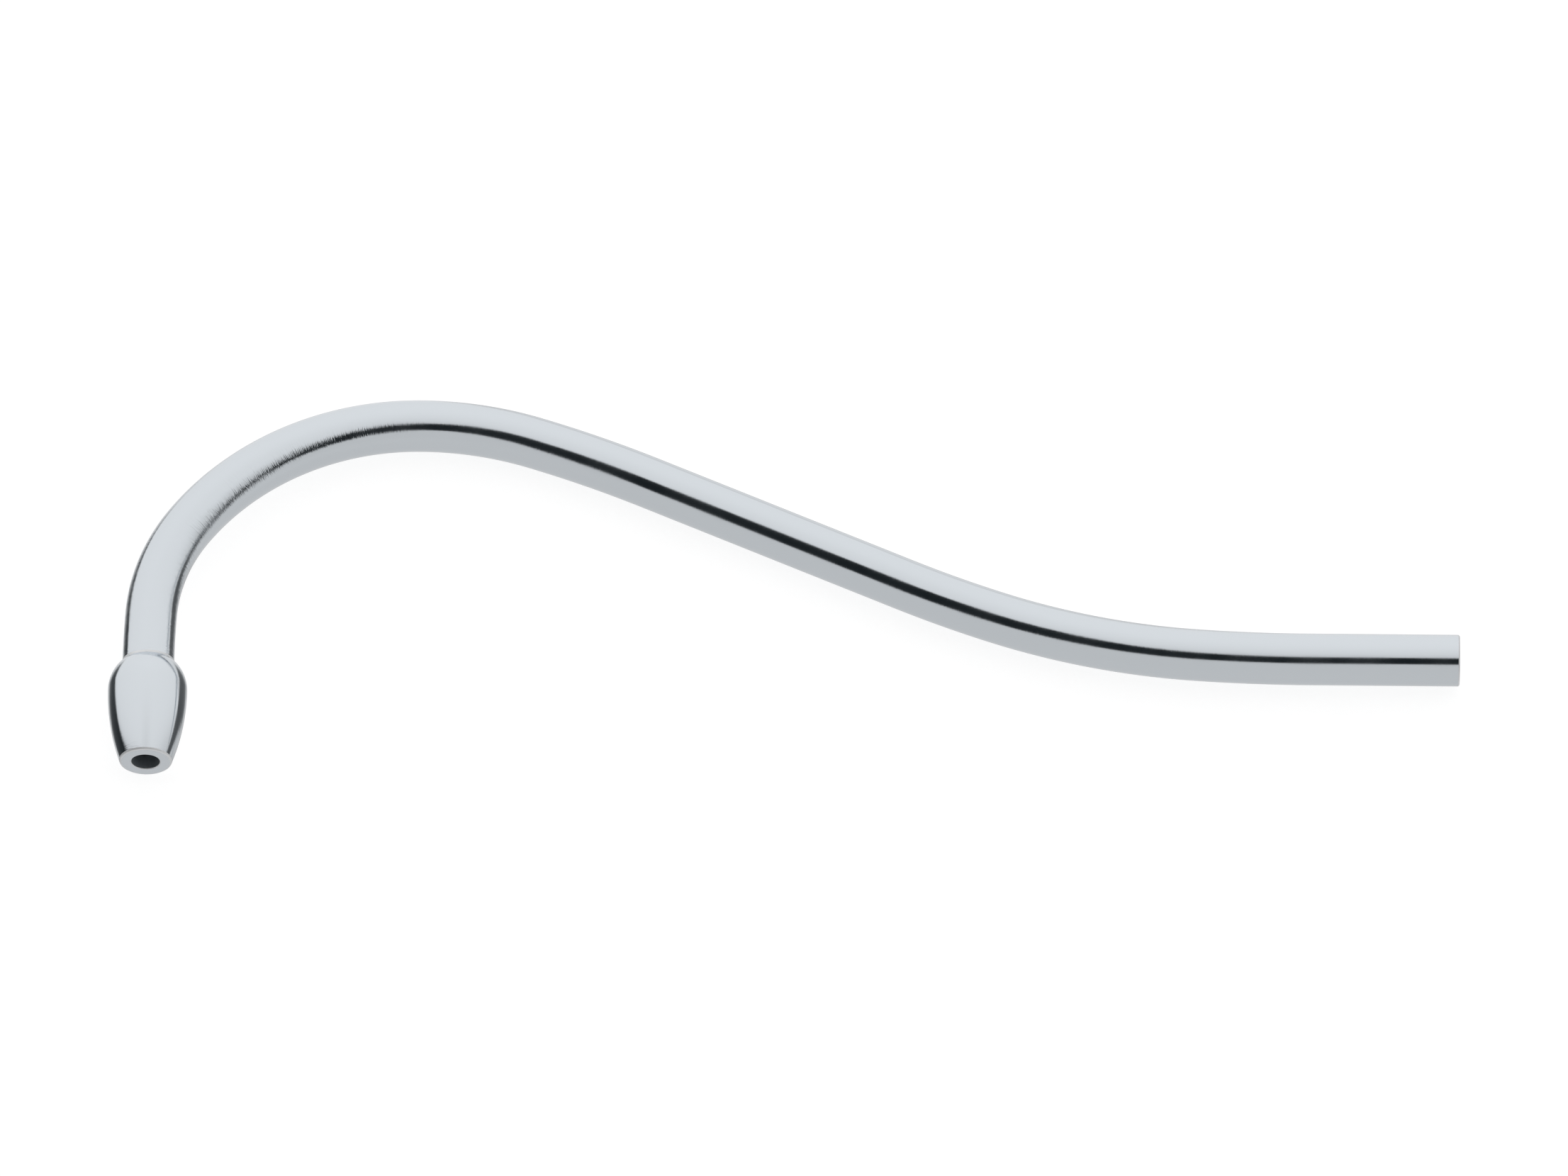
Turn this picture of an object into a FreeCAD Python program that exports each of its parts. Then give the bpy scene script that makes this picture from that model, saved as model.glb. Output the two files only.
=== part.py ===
# Antrum cannula with an olive tip: a thin-walled tube bent in one plane, with a
# turned olive seated on its curved end. Lengths are in millimetres and angles in
# degrees. +Z is up and z = 0 is the surface that the cannula lies on.
import FreeCAD, Part
import math
import os

os.makedirs("parts", exist_ok=True)

V = FreeCAD.Vector
UP = V(0, 0, 1)

# Tube
tube_od = 3.0
tube_wall = 0.5
tube_end_break = 0.08

# Run of the tube from its open end to the olive. The shaft first bends away from
# the hook's side, and the hook then turns back across it.
shaft_length = 8.7
rise_in_radius = 95.0
rise_in_angle = 4.0
rise_radius = 43.5
rise_angle = 15.6
rise_out_radius = 70.0
rise_out_angle = 4.7
slope_length = 16.2
hook_in_radius = 70.0
hook_in_angle = 5.9
crest_radius = 21.0
crest_angle = 18.8
hook_radius = 16.5
hook_angle = 53.8
throat_radius = 11.5
throat_angle = 32.0
neck_radius = 60.0
neck_angle = 3.0
neck_straight = 0.25

# Olive: its rim is faired down to the tube by a short hollow collar.
olive_length = 6.45
olive_belly_dia = 4.6
olive_belly_at = 1.7
olive_rim_dia = 3.2
olive_face_dia = 3.0
olive_bore_dia = 1.66
olive_face_round = 0.12
olive_bore_break = 0.04
collar_length = 0.18
collar_edge = 0.03
collar_middle = 0.45
collar_hollow = 0.32
socket_depth = 2.2
socket_clearance = 0.01

# Two lengths are the same within this, and the crest is looked for at so many points.
same_length = 0.001
crest_points = 2000

tube_r = tube_od / 2
lumen_r = tube_r - tube_wall
belly_r = olive_belly_dia / 2
rim_r = olive_rim_dia / 2
face_r = olive_face_dia / 2
outlet_r = olive_bore_dia / 2
socket_r = tube_r + socket_clearance


class Route:
    """A chain of straight runs and tangent arcs in the XY plane."""

    def __init__(self, heading):
        self.at = V(0, 0, 0)
        self.heading = heading
        self.edges = []

    def along(self):
        a = math.radians(self.heading)
        return V(math.cos(a), math.sin(a), 0)

    def run(self, length):
        end = self.at + self.along() * length
        self.edges.append(Part.makeLine(self.at, end))
        self.at = end

    def turn(self, radius, angle):
        side = 1 if angle > 0 else -1
        centre = self.at + UP.cross(self.along()) * side * radius
        arm = self.at - centre
        middle = centre + FreeCAD.Rotation(UP, angle / 2).multVec(arm)
        end = centre + FreeCAD.Rotation(UP, angle).multVec(arm)
        self.edges.append(Part.Arc(self.at, middle, end).toShape())
        self.at = end
        self.heading += angle


# The open end is at the origin, and the shaft runs from it along -X.
route = Route(180.0)
route.run(shaft_length)
route.turn(rise_in_radius, -rise_in_angle)
route.turn(rise_radius, -rise_angle)
route.turn(rise_out_radius, -rise_out_angle)
route.run(slope_length)
route.turn(hook_in_radius, hook_in_angle)
route.turn(crest_radius, crest_angle)
route.turn(hook_radius, hook_angle)
route.turn(throat_radius, throat_angle)
route.turn(neck_radius, neck_angle)
route.run(neck_straight)
joint = route.at
tip_axis = route.along()
route.run(socket_depth)
spine = Part.Wire(route.edges)


def sweep(radius):
    """A solid round bar along the spine."""
    ring = Part.makeCircle(radius, V(0, 0, 0), V(1, 0, 0))
    return spine.makePipeShell([Part.Wire(ring)], True, False)


def rings(shape, centre, radius):
    """The shape's full circles of this radius round this centre."""
    found = []
    for edge in shape.Edges:
        if not isinstance(edge.Curve, Part.Circle):
            continue
        near = edge.Curve.Center.distanceToPoint(centre) < same_length
        if near and abs(edge.Curve.Radius - radius) < same_length:
            found.append(edge)
    return found


open_end = V(0, 0, 0)
bent_tube = sweep(tube_r).cut(sweep(lumen_r))
bent_tube = bent_tube.makeChamfer(tube_end_break, rings(bent_tube, open_end, tube_r)).Solids[0]


def arc_radius(length, drop):
    """Radius of the arc that is level at the belly and falls by drop over length."""
    return (length * length + drop * drop) / (2 * drop)


def arc_height(radius, offset):
    """Height over the axis of such an arc, at an offset from the belly."""
    return belly_r - radius + math.sqrt(radius * radius - offset * offset)


# The olive is drawn with its axis along X and its rim at x = 0. Shoulder and nose
# are arcs that meet in a tangent line round the belly.
nose_length = olive_length - olive_belly_at
shoulder_radius = arc_radius(olive_belly_at, belly_r - rim_r)
nose_radius = arc_radius(nose_length, belly_r - face_r)
half_shoulder = olive_belly_at / 2
half_nose = nose_length / 2
edge_r = socket_r + collar_edge
hollow_r = edge_r + (rim_r - edge_r) * collar_hollow

mouth = V(-collar_length, socket_r, 0)
collar_lip = V(-collar_length, edge_r, 0)
collar_mid = V(-collar_length * collar_middle, hollow_r, 0)
rim = V(0, rim_r, 0)
shoulder_mid = V(half_shoulder, arc_height(shoulder_radius, half_shoulder), 0)
belly = V(olive_belly_at, belly_r, 0)
nose_mid = V(olive_belly_at + half_nose, arc_height(nose_radius, half_nose), 0)
face_edge = V(olive_length, face_r, 0)
face_hole = V(olive_length, outlet_r, 0)
floor_hole = V(socket_depth, outlet_r, 0)
floor_wall = V(socket_depth, socket_r, 0)

half_section = Part.Wire([
    Part.makeLine(mouth, collar_lip),
    Part.Arc(collar_lip, collar_mid, rim).toShape(),
    Part.Arc(rim, shoulder_mid, belly).toShape(),
    Part.Arc(belly, nose_mid, face_edge).toShape(),
    Part.makeLine(face_edge, face_hole),
    Part.makeLine(face_hole, floor_hole),
    Part.makeLine(floor_hole, floor_wall),
    Part.makeLine(floor_wall, mouth),
])
olive_tip = Part.Face(half_section).revolve(V(0, 0, 0), V(1, 0, 0), 360)
face_centre = V(olive_length, 0, 0)
olive_tip = olive_tip.makeFillet(olive_face_round, rings(olive_tip, face_centre, face_r))
olive_tip = olive_tip.makeChamfer(olive_bore_break, rings(olive_tip, face_centre, outlet_r)).Solids[0]
on_neck = FreeCAD.Placement(joint, FreeCAD.Rotation(V(1, 0, 0), tip_axis))
olive_tip.Placement = on_neck

# At rest the cannula touches the surface with the tube's open end, with the crest
# of its bend and with the olive's belly. The plane of the bend leans about the
# line through the first two, because the olive is thicker than the tube.
crest = max(spine.discretize(crest_points)[1:], key=lambda p: math.atan2(p.y, -p.x))
rest_line = V(crest.x, crest.y, 0).normalize()
to_olive = UP.cross(rest_line)
belly_centre = joint + tip_axis * olive_belly_at
lean = math.degrees(math.asin((belly_r - tube_r) / belly_centre.dot(to_olive)))
at_rest = FreeCAD.Placement(V(0, 0, tube_r), FreeCAD.Rotation(to_olive.cross(UP), lean))

nodes = {"bent_tube": bent_tube, "olive_tip": olive_tip}
for shape in nodes.values():
    shape.Placement = at_rest.multiply(shape.Placement)

# The origin is the middle of the cannula's bounding box, on the surface.
whole = Part.makeCompound(list(nodes.values())).optimalBoundingBox(False)
to_middle = V(-whole.Center.x, -whole.Center.y, -whole.ZMin)
for name, shape in nodes.items():
    shape.translate(to_middle)
    shape.exportStep("parts/" + name + ".step")
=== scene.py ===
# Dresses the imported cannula: a satin steel tube and a polished olive in a light tent,
# on a white floor. Sizes of the cannula are in millimetres, as in its drawing, and
# everything in Blender is in metres.
import bpy
import math
from mathutils import Matrix, Vector


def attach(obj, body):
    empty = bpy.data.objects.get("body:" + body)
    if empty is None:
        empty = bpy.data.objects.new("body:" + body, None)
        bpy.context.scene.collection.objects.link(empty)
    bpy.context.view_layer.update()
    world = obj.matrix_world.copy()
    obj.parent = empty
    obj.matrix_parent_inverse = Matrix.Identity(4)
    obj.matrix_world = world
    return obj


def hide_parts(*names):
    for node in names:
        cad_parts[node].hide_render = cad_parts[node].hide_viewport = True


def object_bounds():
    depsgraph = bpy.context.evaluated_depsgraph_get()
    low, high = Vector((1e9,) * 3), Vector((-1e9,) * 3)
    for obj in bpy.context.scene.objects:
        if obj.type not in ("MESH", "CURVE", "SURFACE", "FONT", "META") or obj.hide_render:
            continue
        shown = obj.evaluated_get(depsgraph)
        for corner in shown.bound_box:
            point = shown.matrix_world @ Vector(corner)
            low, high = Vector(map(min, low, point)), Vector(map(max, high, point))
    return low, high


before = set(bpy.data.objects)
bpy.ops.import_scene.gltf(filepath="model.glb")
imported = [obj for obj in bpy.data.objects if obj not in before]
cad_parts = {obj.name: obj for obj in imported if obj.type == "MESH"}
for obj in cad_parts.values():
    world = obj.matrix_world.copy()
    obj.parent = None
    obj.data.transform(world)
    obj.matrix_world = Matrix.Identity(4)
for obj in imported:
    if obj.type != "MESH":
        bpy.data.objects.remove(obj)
packed_bounds = [list(corner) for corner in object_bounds()]

MM = 0.001
UP = Vector((0, 0, 1))
OPEN_END = Vector((0, 0, 0))

# Tube
TUBE_R = 1.5
LUMEN_R = 1.0
TUBE_END_BREAK = 0.08

# Run of the tube from its open end to the olive: one number is a straight run, and
# two are an arc's radius and angle, with a minus for a bend away from the hook's side.
SHAFT = [(8.7,)]
RISE = [(95.0, -4.0), (43.5, -15.6), (70.0, -4.7)]
SLOPE = [(16.2,)]
HOOK = [(70.0, 5.9), (21.0, 18.8), (16.5, 53.8), (11.5, 32.0)]
NECK = [(60.0, 3.0), (0.25,)]

# Olive
OLIVE_LENGTH = 6.45
BELLY_R = 2.3
BELLY_AT = 1.7
RIM_R = 1.6
FACE_R = 1.5
OUTLET_R = 0.83
FACE_ROUND = 0.12
OUTLET_BREAK = 0.04
COLLAR_LENGTH = 0.18
COLLAR_EDGE = 0.03
COLLAR_MIDDLE = 0.45
COLLAR_HOLLOW = 0.32
SOCKET_DEPTH = 2.2
SOCKET_R = 1.51

# Places of the finishes in a piece's list of materials
POLISHED = 0
BORE = 1
BROKEN_EDGE = 2

# Fineness of the meshes
STATION_STEP = 0.2
ARC_STEP = 0.05
TUBE_AROUND = 96
OLIVE_AROUND = 192
SHARP_ANGLE = 28

# Camera
CAMERA_ELEVATION = 62.0
CAMERA_ROLL = 0.22
LENS_MM = 1000.0
SENSOR_MM = 36.0
PIXELS_WIDE = 2212
PIXELS_PER_MM = 73.0 / 3.0
OPEN_END_RIGHT_OF_CENTRE = 953.0
OPEN_END_BELOW_CENTRE = 102.5


class Route:
    """Points and headings along straight runs and tangent arcs, in the XY plane."""

    def __init__(self):
        self.at = OPEN_END.copy()
        self.heading = math.pi
        self.stations = [(self.at, self.along())]

    def along(self):
        return Vector((math.cos(self.heading), math.sin(self.heading), 0))

    def run(self, length):
        start = self.at
        steps = math.ceil(length / STATION_STEP)
        for k in range(1, steps + 1):
            self.at = start + self.along() * (length * k / steps)
            self.stations.append((self.at, self.along()))

    def turn(self, radius, angle):
        sweep = math.radians(angle)
        centre = self.at + UP.cross(self.along()) * math.copysign(radius, sweep)
        arm = self.at - centre
        heading = self.heading
        steps = math.ceil(radius * abs(sweep) / STATION_STEP)
        for k in range(1, steps + 1):
            part = sweep * k / steps
            self.at = centre + Matrix.Rotation(part, 3, "Z") @ arm
            self.heading = heading + part
            self.stations.append((self.at, self.along()))

    def follow(self, moves):
        for move in moves:
            if len(move) == 1:
                self.run(*move)
            else:
                self.turn(*move)


def at_rest(route, belly):
    """Places the plane of the bend so that open end, crest and olive touch z = 0."""
    crest = max((p for p, _ in route.stations[1:]), key=lambda p: math.atan2(p.y, -p.x))
    to_olive = UP.cross(crest.normalized())
    lean = math.asin((BELLY_R - TUBE_R) / belly.dot(to_olive))
    turn = Matrix.Rotation(lean, 4, to_olive.cross(UP))
    return Matrix.Scale(MM, 4) @ Matrix.Translation((0, 0, TUBE_R)) @ turn


def arc(start, middle, end):
    """Points after start up to end, on the arc through these three."""
    a, b, c = Vector(start), Vector(middle), Vector(end)
    cross = 2 * (b - a).cross(c - a)
    p = (b - a).length_squared / cross
    q = (c - a).length_squared / cross
    centre = a + Vector((p * (c - a).y - q * (b - a).y, q * (b - a).x - p * (c - a).x))
    arm = a - centre
    sweep = arm.angle_signed(c - centre)
    steps = max(3, math.ceil(arm.length * abs(sweep) / ARC_STEP))
    turned = (Matrix.Rotation(-sweep * k / steps, 2) @ arm for k in range(1, steps + 1))
    return [tuple(centre + spoke) for spoke in turned]


def line(start, end):
    """Points after start up to end, on the line between them."""
    a, b = Vector(start), Vector(end)
    steps = max(1, math.ceil((b - a).length / STATION_STEP))
    return [tuple(a.lerp(b, k / steps)) for k in range(1, steps + 1)]


def skin(name, rings, around, place, finishes):
    """A closed mesh over rings (centre, axis, radius), the last joined to the first.

    The band that starts at each ring gets the material that finishes numbers for it.
    The UV map holds the distance travelled over the rings in metres, and the share of
    a turn.
    """
    points = []
    for centre, axis, radius in rings:
        side = UP.cross(axis)
        for k in range(around):
            angle = 2 * math.pi * k / around
            points.append(centre + (side * math.cos(angle) + UP * math.sin(angle)) * radius)
    faces, uvs, slots = [], [], []
    travelled = 0.0
    for i in range(len(rings)):
        j = (i + 1) % len(rings)
        reach = travelled + (points[i * around] - points[j * around]).length * MM
        for k in range(around):
            n = (k + 1) % around
            faces.append((i * around + k, i * around + n, j * around + n, j * around + k))
            low, high = k / around, (k + 1) / around
            uvs += [travelled, low, travelled, high, reach, high, reach, low]
        slots += [finishes[i]] * around
        travelled = reach
    mesh = bpy.data.meshes.new(name)
    mesh.from_pydata([place @ p for p in points], [], faces)
    mesh.uv_layers.new(name="run").uv.foreach_set("vector", uvs)
    mesh.polygons.foreach_set("material_index", slots)
    mesh.shade_smooth()
    mesh.set_sharp_from_angle(angle=math.radians(SHARP_ANGLE))
    piece = bpy.data.objects.new(name, mesh)
    bpy.context.collection.objects.link(piece)
    return piece


def tube_rings(stations):
    """Rings of the outer wall from the open end, of the lumen back, and of the end's rim."""
    start, along = stations[0]
    outer = [(start + along * TUBE_END_BREAK, along, TUBE_R)]
    outer += [(p, t, TUBE_R) for p, t in stations[1:]]
    lumen = [(p, t, LUMEN_R) for p, t in reversed(stations)]
    rim = [(start, along, TUBE_R - TUBE_END_BREAK)]
    finishes = [POLISHED] * len(outer) + [BORE] * (len(lumen) - 1) + [POLISHED, BROKEN_EDGE]
    return outer + lumen + rim, finishes


def arc_radius(length, drop):
    """Radius of the arc that is level at the belly and falls by drop over length."""
    return (length * length + drop * drop) / (2 * drop)


def on_arc(radius, offset):
    """The point of such an arc at an offset from the belly."""
    height = BELLY_R - radius + math.sqrt(radius * radius - offset * offset)
    return (BELLY_AT + offset, height)


def olive_profile():
    """The olive's outside, face, outlet and socket: (distance from the rim, radius)."""
    shoulder = arc_radius(BELLY_AT, BELLY_R - RIM_R)
    nose = arc_radius(OLIVE_LENGTH - BELLY_AT, BELLY_R - FACE_R)
    lip_r = SOCKET_R + COLLAR_EDGE
    hollow = (-COLLAR_LENGTH * COLLAR_MIDDLE, lip_r + (RIM_R - lip_r) * COLLAR_HOLLOW)
    round_at = OLIVE_LENGTH - FACE_ROUND
    round_r = on_arc(nose - FACE_ROUND, round_at - BELLY_AT)[1] - FACE_ROUND
    round_centre = Vector((round_at, round_r))
    outwards = (round_centre - Vector((BELLY_AT, BELLY_R - nose))).normalized()
    nose_end = round_centre + outwards * FACE_ROUND
    nose_middle = on_arc(nose, (nose_end.x - BELLY_AT) / 2)
    round_middle = round_centre + (outwards + Vector((1, 0))).normalized() * FACE_ROUND

    points = [(-COLLAR_LENGTH, SOCKET_R)]
    finishes = []

    def follow(stretch, finish):
        points.extend(stretch)
        finishes.extend([finish] * len(stretch))

    follow([(-COLLAR_LENGTH, lip_r)], BROKEN_EDGE)
    follow(arc(points[-1], hollow, (0, RIM_R)), BROKEN_EDGE)
    follow(arc(points[-1], on_arc(shoulder, -BELLY_AT / 2), (BELLY_AT, BELLY_R)), POLISHED)
    follow(arc(points[-1], nose_middle, nose_end), POLISHED)
    # The nose's last band shades into the round over the face, so it has the edge's finish.
    finishes[-1] = BROKEN_EDGE
    follow(arc(points[-1], round_middle, (OLIVE_LENGTH, round_r)), BROKEN_EDGE)
    follow(line(points[-1], (OLIVE_LENGTH, OUTLET_R + OUTLET_BREAK)), POLISHED)
    follow([(OLIVE_LENGTH - OUTLET_BREAK, OUTLET_R)], BROKEN_EDGE)
    follow(line(points[-1], (SOCKET_DEPTH, OUTLET_R)), BORE)
    follow(line(points[-1], (SOCKET_DEPTH, SOCKET_R)), BORE)
    follow(line(points[-1], points[0]), BORE)
    return points[:-1], finishes


def add(tree, kind, inputs=None, **settings):
    """A node with its settings, and with its inputs linked or set by name or number."""
    node = tree.nodes.new(kind)
    for name, value in settings.items():
        setattr(node, name, value)
    for name, value in (inputs or {}).items():
        if isinstance(value, bpy.types.NodeSocket):
            tree.links.new(value, node.inputs[name])
        else:
            node.inputs[name].default_value = value
    return node


def calc(tree, operation, *values):
    inputs = dict(enumerate(values))
    return add(tree, "ShaderNodeMath", inputs, operation=operation).outputs[0]


def map_range(tree, value, low, high, to_low=0.0, to_high=1.0, kind="LINEAR"):
    inputs = {"Value": value, "From Min": low, "From Max": high}
    inputs |= {"To Min": to_low, "To Max": to_high}
    return add(tree, "ShaderNodeMapRange", inputs, interpolation_type=kind).outputs["Result"]


def step(tree, value, low, high, to_low=0.0, to_high=1.0):
    """A smooth step from to_low to to_high while value goes from low to high."""
    return map_range(tree, value, low, high, to_low, to_high, "SMOOTHSTEP")


def curve(tree, value, points, low, high):
    """A smooth curve through points (value, height), with heights between low and high."""
    left, right = points[0][0], points[-1][0]
    share = map_range(tree, value, left, right)
    node = add(tree, "ShaderNodeFloatCurve", {"Value": share})
    made = node.mapping.curves[0].points
    while len(made) < len(points):
        made.new(0.5, 0.5)
    for point, (x, y) in zip(made, points):
        point.location = ((x - left) / (right - left), (y - low) / (high - low))
    node.mapping.update()
    return map_range(tree, node.outputs["Value"], 0.0, 1.0, low, high)


def mix_values(tree, share, first, second):
    inputs = {"Factor": share, 2: first, 3: second}
    return add(tree, "ShaderNodeMix", inputs, data_type="FLOAT").outputs[0]


def mix_colours(tree, share, first, second):
    inputs = {"Factor": share, 6: first, 7: second}
    return add(tree, "ShaderNodeMix", inputs, data_type="RGBA").outputs[2]


def grey(tree, value):
    inputs = {0: value, 1: value, 2: value}
    return add(tree, "ShaderNodeCombineColor", inputs).outputs[0]


def camera_axes():
    """Right, up and back of the camera, in the frame."""
    tilt = math.radians(CAMERA_ELEVATION)
    roll = math.radians(CAMERA_ROLL)
    back = Vector((0, -math.cos(tilt), math.sin(tilt)))
    level = Vector((1, 0, 0))
    raised = back.cross(level)
    right = level * math.cos(roll) + raised * math.sin(roll)
    return right, back.cross(right), back


def make_camera(open_end):
    right, up, back = camera_axes()
    aim = open_end - right * (OPEN_END_RIGHT_OF_CENTRE / PIXELS_PER_MM * MM)
    aim += up * (OPEN_END_BELOW_CENTRE / PIXELS_PER_MM * MM)
    width = PIXELS_WIDE / PIXELS_PER_MM * MM
    data = bpy.data.cameras.new("camera")
    data.lens = LENS_MM
    data.sensor_width = SENSOR_MM
    camera = bpy.data.objects.new("camera", data)
    turn = Matrix((right, up, back)).transposed().to_4x4()
    camera.matrix_world = Matrix.Translation(aim + back * (width * LENS_MM / SENSOR_MM)) @ turn
    bpy.context.collection.objects.link(camera)
    bpy.context.scene.camera = camera


# The light tent round the object, in degrees as the lens sees it: heights are above the
# level of the lens, and turns go round that level from the lens, to the right as plus.
# The walls are bright above the lens and a paler grey below it. The tent's numbers were
# read off the reflections in the photograph, and thinned and rounded.
WALL_LIGHT = [(-90, 0.65), (-30, 0.65), (0, 0.68), (20, 0.86), (50, 0.91), (90, 0.94)]

# Straight towards the lens the walls have this light, which goes over into the one above
# between these turns.
LENS_LIGHT = [(-90, 0.65), (-30, 0.65), (0, 0.66), (25, 0.81), (50, 0.9), (90, 0.94)]
LENS_SIDE = (0, 25)

# A duller round panel on the right, with a seam round it.
PANEL_TURN = 145
PANEL_HEIGHT = 20
PANEL_RADIUS = 30
PANEL_DIMMING = 0.9
SEAM_HALF_WIDTH = 2.5
SEAM_DIMMING = 0.7

# The tent is open at the level of the lens, and the dark room shows there as a belt. It
# lies lower on the right, climbs behind the object and fades out straight behind it.
BELT_TOP = [
    (-180, 12), (-145, 30), (-115, 14), (-90, 7), (-55, 13), (-18, 18), (0, 11), (20, 3),
    (60, -7), (90, -2), (110, 9), (145, 27), (180, 12),
]
BELT_FOOT = [
    (-180, 5), (-150, -4), (-130, -12), (-50, -20), (0, -18), (15, -24), (50, -20), (75, -19),
    (100, -13), (130, -2), (150, -2), (165, 8), (180, 5),
]
BELT_SHARE = [
    (-180, 0), (-160, 0.1), (-145, 0.8), (-130, 0.95), (0, 1), (50, 1), (80, 0.9), (135, 0.85),
    (150, 0.5), (165, 0), (180, 0),
]
BELT_EDGE = 2.5
BELT_REACH = 30
WHITE = (1, 1, 1, 1)
ROOM = (0.011, 0.0145, 0.0165, 1)


def direction_of(turn, height):
    """The direction at a turn and a height, as the lens sees them."""
    right, up, back = camera_axes()
    around, over = math.radians(turn), math.radians(height)
    level = back * math.cos(around) + right * math.sin(around)
    return level * math.cos(over) + up * math.sin(over)


def make_tent():
    world = bpy.data.worlds.new("tent")
    bpy.context.scene.world = world
    world.use_nodes = True
    tree = world.node_tree
    tree.nodes.clear()
    direction = add(tree, "ShaderNodeTexCoord").outputs["Generated"]

    def share_of(axis):
        inputs = {0: direction, 1: tuple(axis)}
        return add(tree, "ShaderNodeVectorMath", inputs, operation="DOT_PRODUCT").outputs["Value"]

    def in_degrees(operation, *values):
        return calc(tree, "MULTIPLY", calc(tree, operation, *values), 180 / math.pi)

    sideways, upwards, frontwards = [share_of(axis) for axis in camera_axes()]
    turn = in_degrees("ARCTAN2", sideways, frontwards)
    height = in_degrees("ARCSINE", upwards)
    by_lens = step(tree, calc(tree, "ABSOLUTE", turn), *LENS_SIDE, 1.0, 0.0)
    wall = curve(tree, height, WALL_LIGHT, 0, 1)
    light = mix_values(tree, by_lens, wall, curve(tree, height, LENS_LIGHT, 0, 1))

    off_panel = in_degrees("ARCCOSINE", share_of(direction_of(PANEL_TURN, PANEL_HEIGHT)))
    panel = step(tree, off_panel, PANEL_RADIUS - SEAM_HALF_WIDTH, PANEL_RADIUS, PANEL_DIMMING, 1.0)
    off_seam = calc(tree, "ABSOLUTE", calc(tree, "SUBTRACT", off_panel, PANEL_RADIUS))
    seam = step(tree, off_seam, 0.0, SEAM_HALF_WIDTH, SEAM_DIMMING, 1.0)
    light = calc(tree, "MULTIPLY", calc(tree, "MULTIPLY", light, panel), seam)

    under_top = calc(tree, "SUBTRACT", curve(tree, turn, BELT_TOP, -BELT_REACH, BELT_REACH), height)
    over_foot = calc(tree, "SUBTRACT", height, curve(tree, turn, BELT_FOOT, -BELT_REACH, BELT_REACH))
    belt = step(tree, calc(tree, "MINIMUM", under_top, over_foot), -BELT_EDGE, BELT_EDGE)
    belt = calc(tree, "MULTIPLY", belt, curve(tree, turn, BELT_SHARE, 0, 1))
    seen = mix_colours(tree, belt, grey(tree, light), ROOM)
    camera_ray = add(tree, "ShaderNodeLightPath").outputs["Is Camera Ray"]
    shown = mix_colours(tree, camera_ray, seen, WHITE)
    background = add(tree, "ShaderNodeBackground", {"Color": shown})
    output = add(tree, "ShaderNodeOutputWorld")
    tree.links.new(background.outputs[0], output.inputs["Surface"])


# The floor: the paper's own colour, its glow, its size in metres, and how far it lies
# under the object so that the two never share a place.
PAPER = (0.3, 0.3, 0.3, 1)
PAPER_GLOW = 0.85
FLOOR_SIZE = 8
FLOOR_DROP = 0.00001


def new_material(name):
    material = bpy.data.materials.new(name)
    material.use_nodes = True
    material.node_tree.nodes.clear()
    return material, material.node_tree


def finish_material(tree, shader):
    output = add(tree, "ShaderNodeOutputMaterial")
    tree.links.new(shader.outputs[0], output.inputs["Surface"])


def white_floor():
    """Shows white to the camera with a faint shadow, and lets the tent show in the metal."""
    material, tree = new_material("white_floor")
    paper = add(tree, "ShaderNodeBsdfDiffuse", {"Color": PAPER})
    glow = add(tree, "ShaderNodeEmission", {"Strength": PAPER_GLOW})
    lit = add(tree, "ShaderNodeAddShader", {0: paper.outputs[0], 1: glow.outputs[0]})
    clear = add(tree, "ShaderNodeBsdfTransparent")
    glossy_ray = add(tree, "ShaderNodeLightPath").outputs["Is Glossy Ray"]
    mix = add(tree, "ShaderNodeMixShader", {0: glossy_ray, 1: lit.outputs[0], 2: clear.outputs[0]})
    finish_material(tree, mix)
    return material


def unrolled(tree, radius):
    """The skin's place as a straight bar of this radius in mm."""
    map_ = add(tree, "ShaderNodeUVMap", uv_map="run").outputs["UV"]
    parts = add(tree, "ShaderNodeSeparateXYZ", {0: map_})
    along = calc(tree, "DIVIDE", parts.outputs["X"], MM)
    angle = calc(tree, "MULTIPLY", parts.outputs["Y"], 2 * math.pi)
    y = calc(tree, "MULTIPLY", calc(tree, "COSINE", angle), radius)
    z = calc(tree, "MULTIPLY", calc(tree, "SINE", angle), radius)
    return add(tree, "ShaderNodeCombineXYZ", {0: along, 1: y, 2: z}).outputs[0]


def noise(tree, place, along, around):
    """Noise with cells of these sizes in mm along and round the bar."""
    stretch = (1 / along, 1 / around, 1 / around)
    spot = add(tree, "ShaderNodeVectorMath", {0: place, 1: stretch}, operation="MULTIPLY").outputs[0]
    inputs = {"Vector": spot, "Scale": 1.0, "Detail": 2.0, "Roughness": 0.5}
    return add(tree, "ShaderNodeTexNoise", inputs).outputs["Fac"]


# Steel, and the polishing rings on it. Sizes are in millimetres.
STEEL = (0.715, 0.755, 0.793, 1)
DULL_STEEL = (0.42, 0.45, 0.48, 1)
EDGE_STEEL = (0.78, 0.79, 0.8, 1)

# Share of the rings' height along the tube, from its open end: the neck is the roughest.
RINGS_BY_RUN = [
    (0, 0.2), (9, 0.25), (14, 0.6), (32, 0.6), (37, 0.35), (48, 0.35), (53, 0.6), (62, 0.75),
    (70, 1.5), (90, 1.9),
]
EVEN_RINGS = [(0, 1), (10, 1)]
MOST_RINGS = 2

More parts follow.
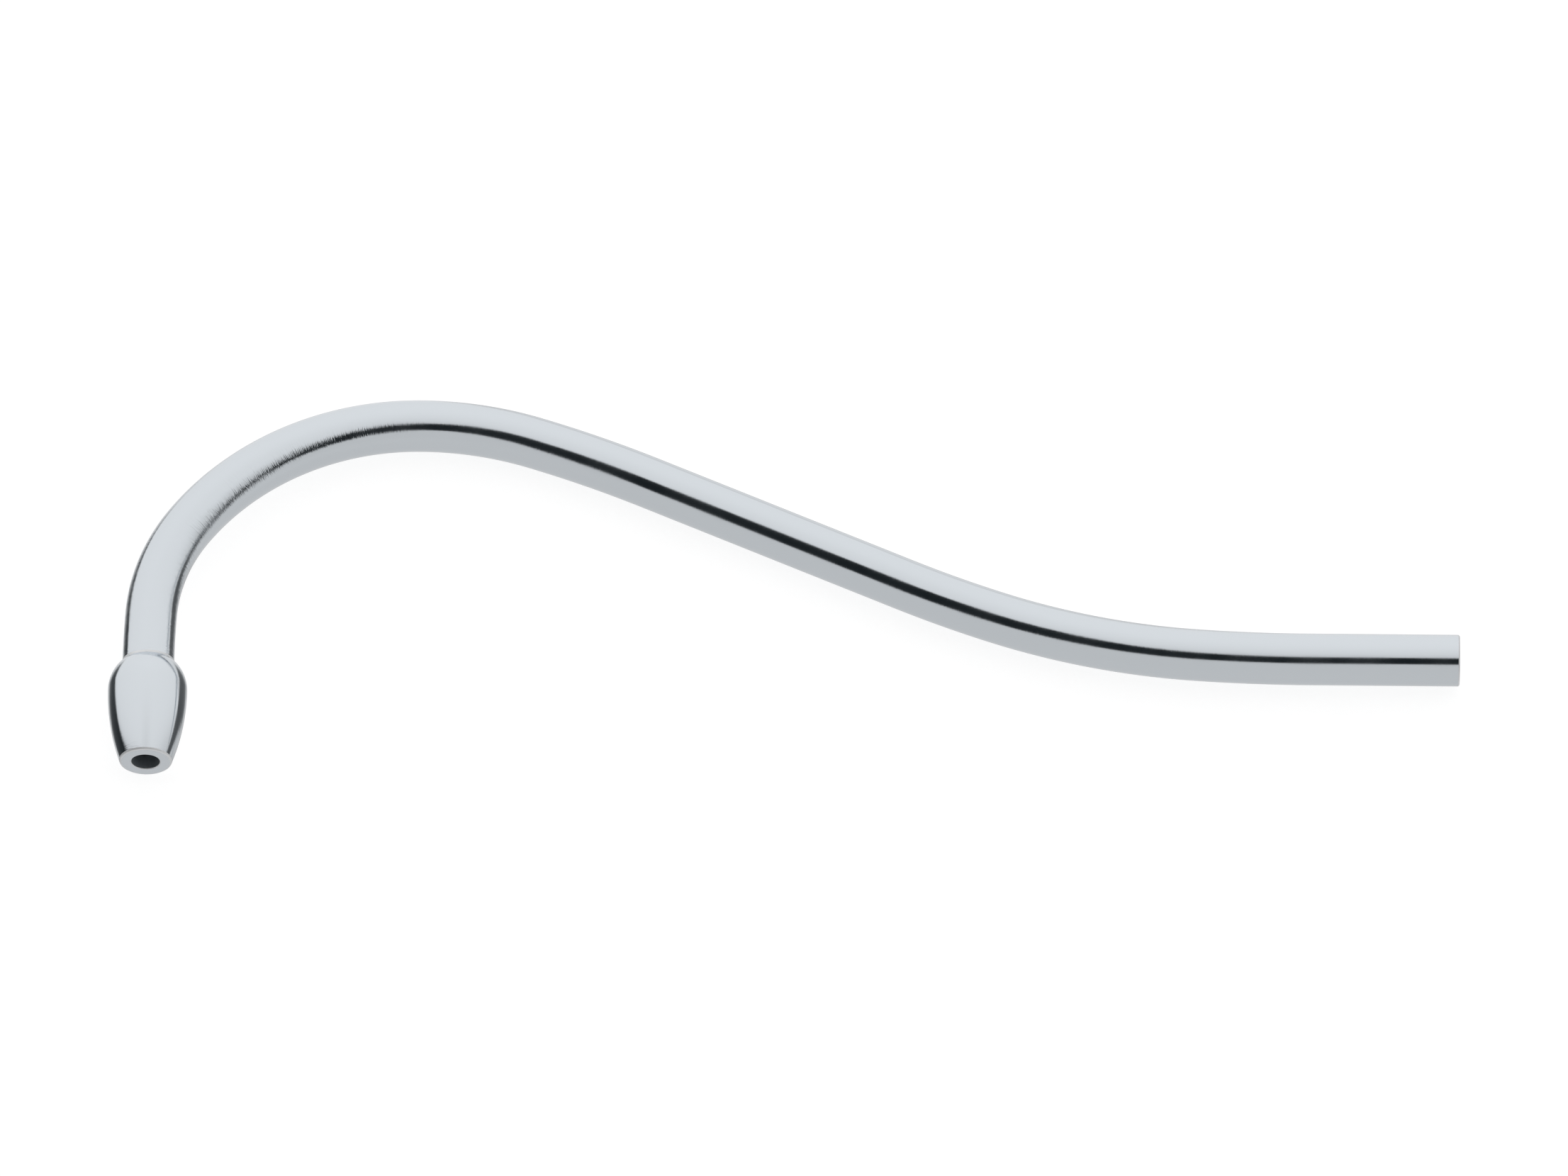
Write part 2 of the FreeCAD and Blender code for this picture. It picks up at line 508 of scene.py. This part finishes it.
# Finishes: roughness, then the rings' cell along and round the bar and their height.
SATIN = (0.14, (0.06, 0.6, 0.009))
POLISH = (0.12, (0.06, 0.9, 0.003))
DRAWN = (0.55, (0.6, 0.1, 0.004))
SOFTENED = (0.55, (0.1, 0.4, 0.002))

# Slow drift of a finish over the surface: its cells along and round the bar, the part of
# the noise that is used, and how far it changes the roughness and the rings.
DRIFT_CELL = (2.5, 1.5)
DRIFT_RANGE = (0.3, 0.7)
ROUGHNESS_DRIFT = (0.8, 1.2)
RING_DRIFT = (0.6, 1.4)


def steel(name, colour, radius, finish, by_run):
    """Steel with fine rings left by the polishing wheel, on a bar of this radius."""
    material, tree = new_material(name)
    place = unrolled(tree, radius)
    roughness, (along, around, height) = finish
    drift = noise(tree, place, *DRIFT_CELL)
    least_rough, most_rough = [roughness * share for share in ROUGHNESS_DRIFT]
    rough = map_range(tree, drift, *DRIFT_RANGE, least_rough, most_rough)
    rings = noise(tree, place, along, around)
    run = add(tree, "ShaderNodeSeparateXYZ", {0: place}).outputs["X"]
    depth = calc(tree, "MULTIPLY", curve(tree, run, by_run, 0, MOST_RINGS), height * MM)
    depth = calc(tree, "MULTIPLY", depth, map_range(tree, drift, *DRIFT_RANGE, *RING_DRIFT))
    inputs = {"Height": calc(tree, "MULTIPLY", rings, depth), "Strength": 1.0, "Distance": 1.0}
    bump = add(tree, "ShaderNodeBump", inputs)
    inputs = {"Base Color": colour, "Metallic": 1.0, "Roughness": rough, "Normal": bump.outputs[0]}
    finish_material(tree, add(tree, "ShaderNodeBsdfPrincipled", inputs))
    return material


def make_floor():
    bpy.ops.mesh.primitive_plane_add(size=FLOOR_SIZE, location=(0, 0, -FLOOR_DROP))
    floor = bpy.context.object
    floor.name = "floor"
    floor.data.materials.append(white_floor())


route = Route()
for stretch in (SHAFT, RISE, SLOPE, HOOK, NECK):
    route.follow(stretch)
joint = route.at
tip_axis = route.along()
route.run(SOCKET_DEPTH)
place = at_rest(route, joint + tip_axis * BELLY_AT)

rings, finishes = tube_rings(route.stations)
tube = skin("steel_tube", rings, TUBE_AROUND, place, finishes)
profile, finishes = olive_profile()
rings = [(joint + tip_axis * along, tip_axis, radius) for along, radius in profile]
olive = skin("steel_olive", rings, OLIVE_AROUND, place, finishes)

# The route starts at its open end, and the frame has its origin in the middle.
low, high = [Vector(corner) for corner in packed_bounds]
corners = [v.co for piece in (tube, olive) for v in piece.data.vertices]
shift = Vector((
    (low.x + high.x - min(c.x for c in corners) - max(c.x for c in corners)) / 2,
    (low.y + high.y - min(c.y for c in corners) - max(c.y for c in corners)) / 2,
    low.z - min(c.z for c in corners),
))
for piece, node, slot in ((tube, "bent_tube", "tube_steel"), (olive, "olive_tip", "olive_steel")):
    piece.data.transform(Matrix.Translation(shift))
    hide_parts(node)
    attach(piece, "root")

tube_steel = steel("satin_tube", STEEL, TUBE_R, SATIN, RINGS_BY_RUN)
olive_steel = steel("polished_olive", STEEL, BELLY_R, POLISH, EVEN_RINGS)
bore_steel = steel("drawn_bore", DULL_STEEL, LUMEN_R, DRAWN, EVEN_RINGS)
edge_steel = steel("broken_edge", EDGE_STEEL, TUBE_R, SOFTENED, EVEN_RINGS)
for piece, outside in ((tube, tube_steel), (olive, olive_steel)):
    for material in (outside, bore_steel, edge_steel):
        piece.data.materials.append(material)

make_floor()
make_tent()
make_camera(place @ OPEN_END + shift)
bpy.context.scene.view_settings.view_transform = "Standard"
